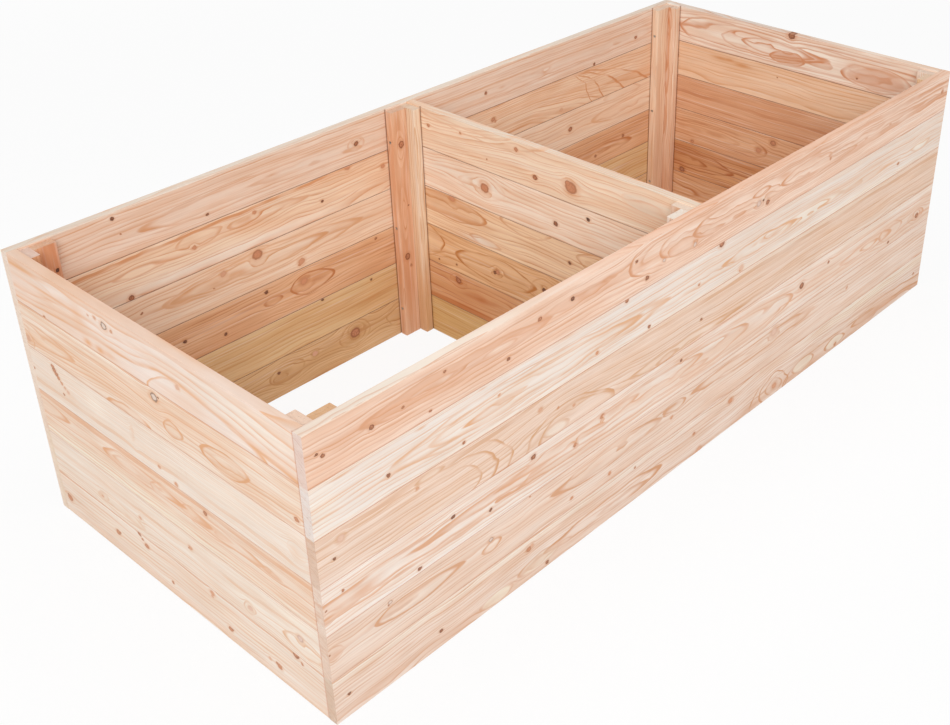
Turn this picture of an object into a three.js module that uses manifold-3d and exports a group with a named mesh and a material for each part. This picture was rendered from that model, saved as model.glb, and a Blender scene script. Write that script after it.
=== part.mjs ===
// Two-bay raised garden bed in unfinished softwood: five panels of six butt-jointed boards, carried
// by upright battens that are screwed to each other. Millimetres, +Z up. The origin is under the
// middle of the bed, on the ground. +X runs along the long walls, from the left end to the right,
// and +Y points to the back wall. The bed has no floor.
import * as THREE from 'three';
import Module from 'manifold-3d';
import { mergeVertices } from 'three/addons/utils/BufferGeometryUtils.js';

// Outside sizes of the bed. Its height follows from the boards.
const bedLength = 2000;
const bedWidth = 875;

// Every panel is a stack of the same board, laid edge on edge.
const boardHeight = 100;
const boardThickness = 21;
const boardsPerPanel = 6;
const boardArris = 1.6;

// Upright battens stand on the ground and stop a little short of the top edge.
const battenWidth = 46;
const battenThickness = 21;
const battenArris = 2.2;
const battenTopRecess = 4;

// Countersunk screws join two battens: through the width of one, into the face of the other.
const screwsPerJoint = 3;
const screwEndDistance = 75;
const screwShankRadius = 2;
const screwHeadRadius = 3.8;
const screwHeadHeight = 2.6;
const screwHeadSink = 0.6;
const screwPointLength = 5;
const screwPointCover = 7;
const socketAcrossFlats = 3.4;
const socketDepth = 1.6;
const boreClearance = 0.3;

// Facets of an eased corner and of a round.
const arrisSteps = 4;
const roundSides = 16;

const bedHeight = boardHeight * boardsPerPanel;
const battenLength = bedHeight - battenTopRecess;
const innerX = bedLength / 2 - boardThickness;
const innerY = bedWidth / 2 - boardThickness;
const dividerFaceX = -boardThickness / 2;
const screwLength = battenWidth - screwHeadSink + battenThickness - screwPointCover;

const wasm = await Module();
wasm.setup();

const bed = new THREE.Group();
bed.name = 'raised_garden_bed';

// Tones of the raw timber. Boards and battens take them in turn.
const timberTones = [0xe9d3b8, 0xe2c09c, 0xdcb08a, 0xe6c8a6, 0xd7a67e];

function timber(turn) {
  const color = timberTones[turn % timberTones.length];
  return new THREE.MeshStandardMaterial({ color, roughness: 0.75, metalness: 0 });
}

function stainlessSteel() {
  return new THREE.MeshStandardMaterial({ color: 0xb9bbbd, roughness: 0.35, metalness: 1 });
}

function addPiece(parent, name, geometry, material, position) {
  const mesh = new THREE.Mesh(geometry, material);
  mesh.name = name;
  mesh.position.set(...position);
  parent.add(mesh);
}

// A rectangle about the origin, with its four corners eased by an arc.
function easedRectangle(width, height, arris) {
  const x = width / 2 - arris;
  const y = height / 2 - arris;
  const shape = new THREE.Shape();
  shape.absarc(x, y, arris, 0, Math.PI / 2);
  shape.absarc(-x, y, arris, Math.PI / 2, Math.PI);
  shape.absarc(-x, -y, arris, Math.PI, 1.5 * Math.PI);
  shape.absarc(x, -y, arris, 1.5 * Math.PI, 2 * Math.PI);
  shape.closePath();
  return shape;
}

// A straight length of timber that stands on its square-cut end.
function standingTimber(width, depth, arris, length) {
  return new THREE.ExtrudeGeometry(easedRectangle(width, depth, arris), {
    depth: length,
    bevelEnabled: false,
    curveSegments: arrisSteps,
  });
}

// A board on its long edge, centred on its own middle.
function boardAlongX(length) {
  const board = standingTimber(boardHeight, boardThickness, boardArris, length);
  return board.translate(0, 0, -length / 2).rotateY(Math.PI / 2);
}

function boardAlongY(length) {
  return boardAlongX(length).rotateZ(Math.PI / 2);
}

// A panel's boards, from the ground up.
function addPanel(name, makeBoard, length, x, y, firstTurn) {
  const panel = new THREE.Group();
  panel.position.set(x, y, 0);
  for (let row = 0; row < boardsPerPanel; row += 1) {
    const centreHeight = (row + 0.5) * boardHeight;
    const wood = timber(firstTurn + 3 * row);
    addPiece(panel, `${name}_board_${row + 1}`, makeBoard(length), wood, [0, 0, centreHeight]);
  }
  bed.add(panel);
}

// A closed three.js mesh as a solid that can be cut, and back.
function toSolid(geometry) {
  const bare = geometry.clone();
  bare.deleteAttribute('normal');
  bare.deleteAttribute('uv');
  const merged = mergeVertices(bare);
  return new wasm.Manifold(new wasm.Mesh({
    numProp: 3,
    vertProperties: merged.attributes.position.array,
    triVerts: Uint32Array.from(merged.index.array),
  }));
}

function toGeometry(solid) {
  const mesh = solid.getMesh();
  const geometry = new THREE.BufferGeometry();
  geometry.setAttribute('position', new THREE.BufferAttribute(mesh.vertProperties, 3));
  geometry.setIndex(new THREE.BufferAttribute(mesh.triVerts, 1));
  geometry.computeVertexNormals();
  return geometry;
}

// A solid of revolution about Y, from [radius, height] pairs.
function turned(outline) {
  const points = outline.map(([radius, height]) => new THREE.Vector2(radius, height));
  return new THREE.LatheGeometry(points, roundSides);
}

// A countersunk screw along Y: the flat of its head at 0, its point at screwLength.
function screwGeometry() {
  const body = turned([
    [0, 0],
    [screwHeadRadius, 0],
    [screwShankRadius, screwHeadHeight],
    [screwShankRadius, screwLength - screwPointLength],
    [0, screwLength],
  ]);
  const socket = new THREE.CylinderGeometry(
    socketAcrossFlats / Math.sqrt(3),
    socketAcrossFlats / Math.sqrt(3),
    2 * socketDepth,
    6,
  );
  return toGeometry(toSolid(body).subtract(toSolid(socket)));
}

// The hole that the same screw leaves, open past the face that its head is sunk into.
function boreGeometry() {
  const headBore = screwHeadRadius + boreClearance;
  const shankBore = screwShankRadius + boreClearance;
  return turned([
    [0, -2 * screwHeadSink],
    [headBore, -2 * screwHeadSink],
    [headBore, 0],
    [shankBore, screwHeadHeight],
    [shankBore, screwLength - screwPointLength],
    [0, screwLength + boreClearance],
  ]);
}

// Heights of a joint's screws, spread evenly between the two ends of its battens.
function screwHeights() {
  const step = (battenLength - 2 * screwEndDistance) / (screwsPerJoint - 1);
  return Array.from({ length: screwsPerJoint }, (_, i) => screwEndDistance + i * step);
}

// A batten that stands at [x, y] of its joint, with the joint's screw holes cut through it.
function boredBatten(width, depth, x, y, screwHeadX, screwY, turn) {
  let batten = toSolid(standingTimber(width, depth, battenArris, battenLength));
  for (const height of screwHeights()) {
    const bore = boreGeometry().rotateZ(turn);
    bore.translate(screwHeadX - x, screwY - y, height);
    batten = batten.subtract(toSolid(bore));
  }
  return toGeometry(batten);
}

// Two battens and their screws, in the corner that a cross panel's face at faceX makes with a long
// wall. The face looks away from `outward`, which is the way the screws point; `wall` is -1 for the
// front wall and 1 for the back wall.
function addBattenJoint(name, crossBatten, wallBatten, faceX, outward, wall) {
  const joint = new THREE.Group();
  joint.position.set(faceX, wall * innerY, 0);
  const crossX = -outward * battenThickness / 2;
  const crossY = -wall * battenWidth / 2;
  const wallX = -outward * (battenThickness + battenWidth / 2);
  const wallY = -wall * battenThickness / 2;
  const headX = -outward * (battenThickness + battenWidth - screwHeadSink);
  const turn = -outward * Math.PI / 2;
  const cross = boredBatten(battenThickness, battenWidth, crossX, crossY, headX, wallY, turn);
  const along = boredBatten(battenWidth, battenThickness, wallX, wallY, headX, wallY, turn);
  addPiece(joint, crossBatten, cross, timber(1), [crossX, crossY, 0]);
  addPiece(joint, wallBatten, along, timber(4), [wallX, wallY, 0]);
  screwHeights().forEach((height, i) => {
    const screw = screwGeometry().rotateZ(turn);
    addPiece(joint, `${name}_screw_${i + 1}`, screw, stainlessSteel(), [headX, wallY, height]);
  });
  bed.add(joint);
}

// The long walls run the full length and cover the ends of the three cross panels.
const longWallY = innerY + boardThickness / 2;
const endWallX = innerX + boardThickness / 2;
addPanel('front_wall', boardAlongX, bedLength, 0, -longWallY, 0);
addPanel('back_wall', boardAlongX, bedLength, 0, longWallY, 2);
addPanel('left_end', boardAlongY, 2 * innerY, -endWallX, 0, 1);
addPanel('right_end', boardAlongY, 2 * innerY, endWallX, 0, 3);
addPanel('divider', boardAlongY, 2 * innerY, 0, 0, 4);

for (const [wallName, wall] of [['front', -1], ['back', 1]]) {
  for (const [endName, end] of [['left', -1], ['right', 1]]) {
    const corner = `${wallName}_${endName}`;
    addBattenJoint(corner, `${corner}_end_batten`, `${corner}_wall_batten`, end * innerX, end, wall);
  }
  const middle = `${wallName}_middle`;
  addBattenJoint(middle, `${wallName}_divider_batten`, `${middle}_wall_batten`, dividerFaceX, 1, wall);
}

export default bed;
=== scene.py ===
import random
import bpy
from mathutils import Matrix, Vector


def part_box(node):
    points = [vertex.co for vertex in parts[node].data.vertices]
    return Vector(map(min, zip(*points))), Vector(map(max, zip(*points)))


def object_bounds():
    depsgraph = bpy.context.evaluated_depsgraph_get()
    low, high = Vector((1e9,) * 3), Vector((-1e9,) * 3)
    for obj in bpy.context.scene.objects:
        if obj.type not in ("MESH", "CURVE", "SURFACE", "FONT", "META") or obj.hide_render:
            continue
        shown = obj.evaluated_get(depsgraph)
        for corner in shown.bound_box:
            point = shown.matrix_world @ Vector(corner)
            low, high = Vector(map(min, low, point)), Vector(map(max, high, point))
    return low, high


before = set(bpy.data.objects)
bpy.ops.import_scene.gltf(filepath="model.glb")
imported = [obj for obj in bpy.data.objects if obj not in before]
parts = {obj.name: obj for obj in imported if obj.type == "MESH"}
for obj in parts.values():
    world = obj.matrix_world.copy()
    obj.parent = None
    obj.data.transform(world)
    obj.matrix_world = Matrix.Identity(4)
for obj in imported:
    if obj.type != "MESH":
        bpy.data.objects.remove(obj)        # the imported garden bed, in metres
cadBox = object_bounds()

mm = 0.001
print("frame loaded:", len(parts), "parts")


# Helpers for nodes and colours. Those that add a node give back its output, and addNode the node itself.

def addNode(tree, kind, inputs=None, **settings):
    node = tree.nodes.new(kind)
    for name, value in settings.items():
        setattr(node, name, value)
    for key, value in (inputs or {}).items():
        if isinstance(value, bpy.types.NodeSocket):
            tree.links.new(value, node.inputs[key])
        else:
            node.inputs[key].default_value = value
    return node


def maths(tree, operation, *values, clamp=False):
    node = addNode(tree, "ShaderNodeMath", dict(enumerate(values)), operation=operation, use_clamp=clamp)
    return node.outputs[0]


def vectorMaths(tree, operation, *values):
    node = addNode(tree, "ShaderNodeVectorMath", dict(enumerate(values)), operation=operation)
    return node.outputs["Value" if operation in ("LENGTH", "DOT_PRODUCT") else "Vector"]


def scaled(tree, vector, amount):
    node = addNode(tree, "ShaderNodeVectorMath", {0: vector, "Scale": amount}, operation="SCALE")
    return node.outputs["Vector"]


def splitAxes(tree, vector):
    return addNode(tree, "ShaderNodeSeparateXYZ", {0: vector}).outputs


def blendColour(tree, amount, first, second, mode="MIX"):
    node = addNode(tree, "ShaderNodeMix", {0: amount, 6: first, 7: second}, data_type="RGBA", blend_type=mode)
    return node.outputs[2]


def blendNumber(tree, amount, first, second):
    return addNode(tree, "ShaderNodeMix", {0: amount, 2: first, 3: second}, data_type="FLOAT").outputs[0]


def fade(tree, value, low, high, first=0.0, last=1.0):        # first below low, last above high
    node = addNode(tree, "ShaderNodeMapRange", {0: value, 1: low, 2: high, 3: first, 4: last},
                   interpolation_type="SMOOTHSTEP")
    return node.outputs[0]


def noise(tree, vector, detail=1.0, rough=0.5, output="Fac"):
    settings = {"Vector": vector, "Scale": 1.0, "Detail": detail, "Roughness": rough}
    return addNode(tree, "ShaderNodeTexNoise", settings).outputs[output]


def ramp(tree, value, stops, ease):
    node = addNode(tree, "ShaderNodeValToRGB", {0: value})
    node.color_ramp.interpolation = ease
    elements = node.color_ramp.elements
    while len(elements) < len(stops):
        elements.new(0.5)
    for element, (place, colour) in zip(elements, stops):
        element.position = place
        element.color = colour
    return node.outputs[0]


def grey(level):
    return (level, level, level, 1)


def paint(red, green, blue):        # picker values, 0 to 255, to Blender's linear colour
    def linear(value):
        value /= 255
        return value / 12.92 if value <= 0.04045 else ((value + 0.055) / 1.055) ** 2.4
    return (linear(red), linear(green), linear(blue), 1)


def midway(first, second, share):
    return tuple(a + (b - a) * share for a, b in zip(first, second))


def newGroup(name, inputs, outputs):        # sockets are v for a vector, f for a number, c for a colour
    tree = bpy.data.node_groups.new(name, "ShaderNodeTree")
    kinds = {"v": "NodeSocketVector", "f": "NodeSocketFloat", "c": "NodeSocketColor"}
    for side, sockets in (("INPUT", inputs), ("OUTPUT", outputs)):
        for label, kind in sockets.items():
            tree.interface.new_socket(name=label, in_out=side, socket_type=kinds[kind])
    return tree, tree.nodes.new("NodeGroupInput").outputs, tree.nodes.new("NodeGroupOutput").inputs


def useGroup(tree, group, inputs):
    return addNode(tree, "ShaderNodeGroup", inputs, node_tree=group).outputs


# Knots, swells and loops in the growth rings. Every place inside these groups is in millimetres: X along the
# piece, Y across its face, Z through it.

knotShape = dict(narrow=0.85, flowReach=2.1, flowPull=0.9)        # the rings part round a knot


def makeKnotGroup(shape):
    tree, given, out = newGroup(
        "knot",
        {"Place": "v", "Jittered": "v", "Nearest": "f", "Shade": "f", "Centre": "v", "Radius": "f",
         "Knot shade": "f"},
        {"Place": "v", "Nearest": "f", "Shade": "f"})
    away = vectorMaths(tree, "SUBTRACT", given["Jittered"], given["Centre"])
    away = vectorMaths(tree, "MULTIPLY", away, (shape["narrow"], 1, 0))
    distance = maths(tree, "DIVIDE", vectorMaths(tree, "LENGTH", away), given["Radius"])
    reach = maths(tree, "DIVIDE", distance, shape["flowReach"])
    pull = maths(tree, "EXPONENT", maths(tree, "MULTIPLY", maths(tree, "MULTIPLY", reach, reach), -1.0))
    shift = scaled(tree, vectorMaths(tree, "MULTIPLY", away, (0, -shape["flowPull"], 0)), pull)
    closer = maths(tree, "LESS_THAN", distance, given["Nearest"])
    tree.links.new(vectorMaths(tree, "ADD", given["Place"], shift), out["Place"])
    tree.links.new(maths(tree, "MINIMUM", distance, given["Nearest"]), out["Nearest"])
    tree.links.new(blendNumber(tree, closer, given["Shade"], given["Knot shade"]), out["Shade"])
    return tree


def makeSwellGroup():        # a mound or a dip in the rings, which the saw opens into an oval
    tree, given, out = newGroup(
        "ring swell",
        {"Place": "v", "Total": "f", "Centre": "v", "Narrowness": "v", "Height": "f"},
        {"Total": "f"})
    away = vectorMaths(tree, "SUBTRACT", given["Place"], given["Centre"])
    away = vectorMaths(tree, "MULTIPLY", away, given["Narrowness"])
    falloff = maths(tree, "MULTIPLY", vectorMaths(tree, "DOT_PRODUCT", away, away), -1.0)
    falloff = maths(tree, "EXPONENT", falloff)
    tree.links.new(maths(tree, "MULTIPLY_ADD", falloff, given["Height"], given["Total"]), out["Total"])
    return tree


# The line swells from its inner edge and stops short at its outer edge, in mm from the loop.
loopShape = dict(innerEdge=(-5.4, -0.5), outerEdge=(0.0, 1.6), alongPower=1.6, upPower=1.7, root=0.6,
                 tintFrom=0.75, flowFall=0.55)


def makeLoopGroup(shape):        # one growth ring drawn as a closed loop, which the others flow round
    tree, given, out = newGroup(
        "ring loop",
        {"Place": "v", "Steady": "v", "Line": "f", "Fill": "f", "Centre": "v", "Left": "f", "Right": "f",
         "Up": "f", "Reach": "f", "Strength": "f", "Tint": "f", "Pull": "f", "Middle": "f"},
        {"Place": "v", "Line": "f", "Fill": "f"})
    away = splitAxes(tree, vectorMaths(tree, "SUBTRACT", given["Steady"], given["Centre"]))
    toRight = maths(tree, "MULTIPLY", away[0], given["Right"])
    toLeft = maths(tree, "MULTIPLY", maths(tree, "MULTIPLY", away[0], given["Left"]), -1.0)
    sideways = maths(tree, "MAXIMUM", toRight, toLeft)
    upward = maths(tree, "ABSOLUTE", maths(tree, "MULTIPLY", away[1], given["Up"]))
    strength = maths(tree, "MAXIMUM", fade(tree, sideways, 0.0, 0.9), given["Middle"])
    strength = maths(tree, "MULTIPLY", strength, given["Strength"])
    distance = maths(tree, "ADD", maths(tree, "POWER", sideways, shape["alongPower"]),
                     maths(tree, "POWER", upward, shape["upPower"]))
    distance = maths(tree, "POWER", distance, shape["root"])
    gap = maths(tree, "MULTIPLY", maths(tree, "SUBTRACT", distance, 1.0), given["Reach"])
    line = maths(tree, "MINIMUM", fade(tree, gap, *shape["innerEdge"]),
                 fade(tree, gap, *shape["outerEdge"], 1.0, 0.0))
    line = maths(tree, "MAXIMUM", given["Line"], maths(tree, "MULTIPLY", line, strength))
    inside = fade(tree, distance, shape["tintFrom"], 1.0, 1.0, 0.0)
    square = maths(tree, "MULTIPLY", distance, distance)
    pull = maths(tree, "EXPONENT", maths(tree, "MULTIPLY", square, -shape["flowFall"]))
    pull = maths(tree, "MULTIPLY", maths(tree, "MULTIPLY", away[1], given["Pull"]), pull)
    shift = addNode(tree, "ShaderNodeCombineXYZ", {1: pull}).outputs[0]
    tree.links.new(vectorMaths(tree, "ADD", given["Place"], shift), out["Place"])
    tree.links.new(line, out["Line"])
    tree.links.new(blendNumber(tree, inside, given["Fill"], given["Tint"]), out["Fill"])
    return tree


# The timber itself.

# Across one growth ring: the sharp edge of the late wood first, then its fade into early wood.
ringProfile = ((0.00, grey(0.15)), (0.035, grey(0.85)), (0.10, grey(1.0)), (0.22, grey(0.56)),
               (0.42, grey(0.20)), (0.66, grey(0.05)), (0.97, grey(0.0)), (1.0, grey(0.15)))

# A knot's colours by its shade: whitish with a grey edge at 0, then pink and brown, and near black at 1.
knotHearts = ((0.0, paint(226, 206, 192)), (0.12, paint(230, 204, 190)), (0.2, paint(228, 188, 162)),
              (0.3, paint(216, 154, 118)), (0.45, paint(204, 142, 106)), (0.75, paint(160, 106, 78)),
              (1.0, paint(112, 74, 58)))
knotRims = ((0.0, paint(150, 118, 98)), (0.12, paint(206, 168, 150)), (0.2, paint(226, 184, 158)),
            (0.3, paint(204, 144, 108)), (0.45, paint(146, 88, 60)), (0.75, paint(104, 64, 48)),
            (1.0, paint(60, 38, 30)))

# The size of each kind of unevenness in the wood and in the painted seam shade, in mm along, across and
# through the piece.
grain = dict(wander=(150, 90, 120), ripple=(50, 16, 16), fading=(130, 14, 14), brokenLoop=(90, 26, 12),
             cloud=(190, 24, 60), streak=(260, 3.4, 9), thread=(320, 1.9, 6), fibre=(34, 0.9, 0.9),
             mottle=(60, 5, 12), drift=(260, 45, 90), dryingCheck=(400, 1.6, 7), knotCrumb=(3.4, 3.4, 30),
             seamShadeBreak=(70, 60, 60))
# litEdge is the colour of a painted highlight on the edge below each groove
woodPaint = dict(streak=(246, 234, 224), dryingCheck=(160, 126, 108), litEdge=(246, 228, 206))


def makeTimberGroup(sizes, paints):
    tree, given, out = newGroup(
        "softwood",
        {"Place": "v", "Raw": "v", "Swell": "f", "Line": "f", "Fill": "f", "Nearest": "f", "Shade": "f",
         "Seed": "v", "Pith": "v", "Spacing": "f", "Wander": "f", "Taper": "f", "Early": "c", "Late": "c",
         "Blush": "c", "Blush amount": "f", "Sap": "c", "Sap from": "f", "Stain": "f", "Warming": "f",
         "End": "f", "End tint": "c", "Seam shading": "f", "Low seam": "f", "High seam": "f", "Contact": "f",
         "Seam shade tint": "c"},
        {"Color": "c", "Roughness": "f", "Height": "f"})
    axes = splitAxes(tree, given["Raw"])

    def field(kind, detail=1.0, rough=0.5, output="Fac"):
        narrowness = tuple(1 / size for size in sizes[kind])
        place = vectorMaths(tree, "MULTIPLY_ADD", given["Raw"], narrowness, given["Seed"])
        return noise(tree, place, detail, rough, output)

    def white(value):        # a random number and colour for each whole value
        return addNode(tree, "ShaderNodeTexWhiteNoise", {"W": value}, noise_dimensions="1D").outputs

    # growth rings: the distance from the pith, bent by wander, ripple, swells and taper, cut into years
    wander = vectorMaths(tree, "SUBTRACT", field("wander", 1.5, 0.4, "Color"), (0.5, 0.5, 0.5))
    wander = scaled(tree, vectorMaths(tree, "MULTIPLY", wander, (0, 2.2, 2.2)), given["Wander"])
    place = vectorMaths(tree, "ADD", given["Place"], wander)
    across = vectorMaths(tree, "MULTIPLY", vectorMaths(tree, "SUBTRACT", place, given["Pith"]), (0, 1, 1))
    ripple = maths(tree, "MULTIPLY_ADD", field("ripple"), 2.4, -1.2)
    depth = maths(tree, "ADD", vectorMaths(tree, "LENGTH", across), given["Swell"])
    depth = maths(tree, "ADD", maths(tree, "MULTIPLY_ADD", axes[0], given["Taper"], depth), ripple)
    turn = maths(tree, "DIVIDE", depth, given["Spacing"])
    width = {"W": turn, "Scale": 0.6, "Detail": 0.0}
    width = addNode(tree, "ShaderNodeTexNoise", width, noise_dimensions="1D").outputs["Fac"]
    turn = maths(tree, "ADD", turn, maths(tree, "MULTIPLY", width, 1.6))
    late = ramp(tree, maths(tree, "FRACT", turn), ringProfile, "B_SPLINE")
    year = white(maths(tree, "FLOOR", turn))
    vigour = maths(tree, "MULTIPLY_ADD", year["Value"], 0.55, 0.57)
    fading = fade(tree, field("fading"), 0.32, 0.62, 0.45, 1.0)
    lateness = maths(tree, "MULTIPLY", maths(tree, "MULTIPLY", late, vigour), fading)
    unbroken = fade(tree, field("brokenLoop"), 0.30, 0.58, 0.5, 1.15)
    lateness = maths(tree, "MAXIMUM", lateness, maths(tree, "MULTIPLY", given["Line"], unbroken))

    # early wood, warmer in some years and clouds, paler in the sapwood and in thin streaks
    cloud = fade(tree, field("cloud", 2.0), 0.36, 0.66)
    yearTone = addNode(tree, "ShaderNodeSeparateColor", {0: year["Color"]}).outputs[1]
    warm = maths(tree, "MULTIPLY_ADD", yearTone, 0.45, maths(tree, "MULTIPLY", cloud, 0.75))
    warm = maths(tree, "MULTIPLY_ADD", axes[0], given["Warming"], warm)
    warm = maths(tree, "MULTIPLY", warm, given["Blush amount"], clamp=True)
    early = blendColour(tree, warm, given["Early"], given["Blush"])
    sap = fade(tree, maths(tree, "SUBTRACT", depth, given["Sap from"]), -1.0, 1.0)
    early = blendColour(tree, sap, early, given["Sap"])
    streak = fade(tree, field("streak"), 0.54, 0.72, 0.0, 0.32)
    early = blendColour(tree, streak, early, paint(*paints["streak"]))
    stain = maths(tree, "ADD", given["Stain"], given["Fill"])
    early = blendColour(tree, maths(tree, "MULTIPLY", stain, -1.0, clamp=True), early, given["Sap"])
    early = blendColour(tree, maths(tree, "MULTIPLY", stain, 1.0, clamp=True), early, given["Late"])

    # late wood over it, then fibres and mottle
    lateness = maths(tree, "MULTIPLY", lateness, maths(tree, "MULTIPLY_ADD", sap, -0.35, 1.0))
    thread = fade(tree, field("thread"), 0.52, 0.70, 0.0, 0.22)
    lateness = maths(tree, "MAXIMUM", lateness, thread)
    wood = blendColour(tree, lateness, early, given["Late"])
    fibre = field("fibre", 2.0, 0.6)
    tone = maths(tree, "MULTIPLY_ADD", field("mottle", 1.5), 0.12, 0.84)
    tone = maths(tree, "MULTIPLY_ADD", fibre, 0.10, tone)
    tone = maths(tree, "MULTIPLY_ADD", field("drift"), 0.10, tone)
    tone = addNode(tree, "ShaderNodeCombineColor", {0: tone, 1: tone, 2: tone}).outputs[0]
    wood = blendColour(tree, 1.0, wood, tone, "MULTIPLY")

    # end grain is a little greyer, with fine drying checks
    check = maths(tree, "MULTIPLY", fade(tree, field("dryingCheck"), 0.58, 0.72), 0.3)
    endWood = blendColour(tree, 0.55, wood, given["End tint"])
    endWood = blendColour(tree, check, endWood, paint(*paints["dryingCheck"]))
    wood = blendColour(tree, given["End"], wood, endWood)

    # knots: a warm halo, a heart with fine circles and crumbs, and a rim
    near = given["Nearest"]
    halo = maths(tree, "MULTIPLY", fade(tree, near, 1.0, 2.2, 1.0, 0.0), 0.45)
    wood = blendColour(tree, halo, wood, given["Late"])
    heart = ramp(tree, given["Shade"], knotHearts, "LINEAR")
    rim = ramp(tree, given["Shade"], knotRims, "LINEAR")
    circles = maths(tree, "SINE", maths(tree, "MULTIPLY", near, 15.0))
    circles = maths(tree, "MULTIPLY", maths(tree, "MULTIPLY_ADD", circles, 0.5, 0.5), 0.22)
    crumbs = fade(tree, field("knotCrumb"), 0.46, 0.62, 0.0, 0.6)
    broken = maths(tree, "MULTIPLY", maths(tree, "MAXIMUM", circles, crumbs),
                   fade(tree, given["Shade"], 0.0, 0.2, 0.2, 1.0))
    heart = blendColour(tree, broken, heart, rim)
    edge = maths(tree, "MULTIPLY", fade(tree, near, 0.55, 0.85), fade(tree, near, 0.95, 1.15, 1.0, 0.4))
    knot = blendColour(tree, edge, heart, rim)
    wood = blendColour(tree, fade(tree, near, 0.82, 1.2, 1.0, 0.0), wood, knot)

    # painted shade darkens each groove and the corners where a batten or another wall meets the board, and a
    # painted highlight lightens the edge below each groove
    above = maths(tree, "SUBTRACT", axes[1], given["Low seam"])
    below = maths(tree, "SUBTRACT", given["High seam"], axes[1])
    lit = maths(tree, "MULTIPLY", fade(tree, below, 0.6, 1.8, 0.4, 0.0), given["Seam shading"])
    wood = blendColour(tree, lit, wood, paint(*paints["litEdge"]))
    shadeBreak = fade(tree, field("seamShadeBreak", 2.0), 0.3, 0.6, 0.72, 1.0)
    shade = maths(tree, "MAXIMUM", fade(tree, above, 0.9, 2.6, 1.0, 0.0),
                  fade(tree, below, 0.2, 1.0, 0.9, 0.0))
    shade = maths(tree, "MULTIPLY", maths(tree, "MULTIPLY", shade, given["Seam shading"]), shadeBreak)
    contact = maths(tree, "MULTIPLY", given["Contact"], fade(tree, axes[2], 0.5, 2.5, 0.75, 0.0))
    wood = blendColour(tree, maths(tree, "MAXIMUM", shade, contact), wood, given["Seam shade tint"])

    # late wood is a little smoother than early wood, and stands a little higher
    rough = maths(tree, "MULTIPLY_ADD", lateness, -0.10, maths(tree, "MULTIPLY_ADD", fibre, 0.12, 0.56))
    relief = maths(tree, "MULTIPLY_ADD", lateness, 0.06, maths(tree, "MULTIPLY", fibre, 0.10))
    tree.links.new(wood, out["Color"])
    tree.links.new(rough, out["Roughness"])
    tree.links.new(relief, out["Height"])
    return tree


knotGroup = makeKnotGroup(knotShape)
swellGroup = makeSwellGroup()
loopGroup = makeLoopGroup(loopShape)
timberGroup = makeTimberGroup(grain, woodPaint)
print("wood nodes ready")

# Tones of planed softwood, as picker values: the pale early wood, and the late wood that draws the rings.
tones = {
    "cream": dict(early=(242, 228, 216), late=(227, 181, 144)),
    "salmon": dict(early=(240, 208, 184), late=(215, 155, 114)),
    "peach": dict(early=(238, 214, 196), late=(219, 169, 130)),
    "honey": dict(early=(236, 208, 172), late=(209, 151, 98)),
}

# What a piece's own entry doesn't say. The pith is (up, through) from its low corner. Spacing is one ring's
# width, wander is how far it strays, and taper how far it climbs for each mm along. Warming deepens the blush
# for each mm along. A farSide has the early and late wood of the piece's outside, while its own early and
# late hold the painted shade of the bed's inside.
timberDefaults = dict(tone="peach", pith=(50, 46), spacing=5.6, wander=10, taper=0.0, blush=0.6,
                      sap=(245, 234, 220), sapFrom=400, warming=0.0, endTint=(220, 192, 172), knots=(),
                      loops=(), swells=(), stains=(), contacts=(), seamShade=0.85, seamShadeTint=(126, 64, 28),
                      farSide=None)
timberGloss = dict(relief=0.5, reliefDepth=1.0 * mm, ior=1.45, specular=0.35)
knotJitter = dict(rate=(0.12, 0.14, 0.05), reach=(7.0, 5.6, 0))        # per mm, and in mm: uneven outlines
loopDrift = dict(rate=(0.013, 0.024, 0.02), reach=(34, 14, 0))        # per mm, and in mm: bent loops
loopPull = dict(share=0.9, highest=95, longest=2000, tallest=90)        # past these a loop bends no rings
loopMiddle = dict(longFrom=800, long=0.62, short=0.8)        # how much of its line stays above its middle
outsideShare = dict(tone=0.75, through=(4.0, 14.0))        # how much of a farSide shows, and from where
boundless = 5000.0        # mm, further than any piece reaches


def drawKnots(tree, knots, raw, seedPlace):
    wobble = vectorMaths(tree, "MULTIPLY_ADD", raw, knotJitter["rate"], seedPlace)
    wobble = noise(tree, wobble, 2.0, 0.6, "Color")
    centred = vectorMaths(tree, "SUBTRACT", raw, tuple(reach / 2 for reach in knotJitter["reach"]))
    jittered = vectorMaths(tree, "MULTIPLY_ADD", wobble, knotJitter["reach"], centred)
    state = {"Place": raw, "Nearest": 9.0, "Shade": 0.5}
    for along, across, radius, shade in knots:
        drawnRadius = radius * min(0.9, 0.62 + 0.035 * max(radius - 6, 0))        # the halo adds the rest
        state = useGroup(tree, knotGroup, {
            "Place": state["Place"], "Nearest": state["Nearest"], "Shade": state["Shade"],
            "Jittered": jittered, "Centre": (along, across, 0), "Radius": drawnRadius, "Knot shade": shade})
    return state


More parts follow.
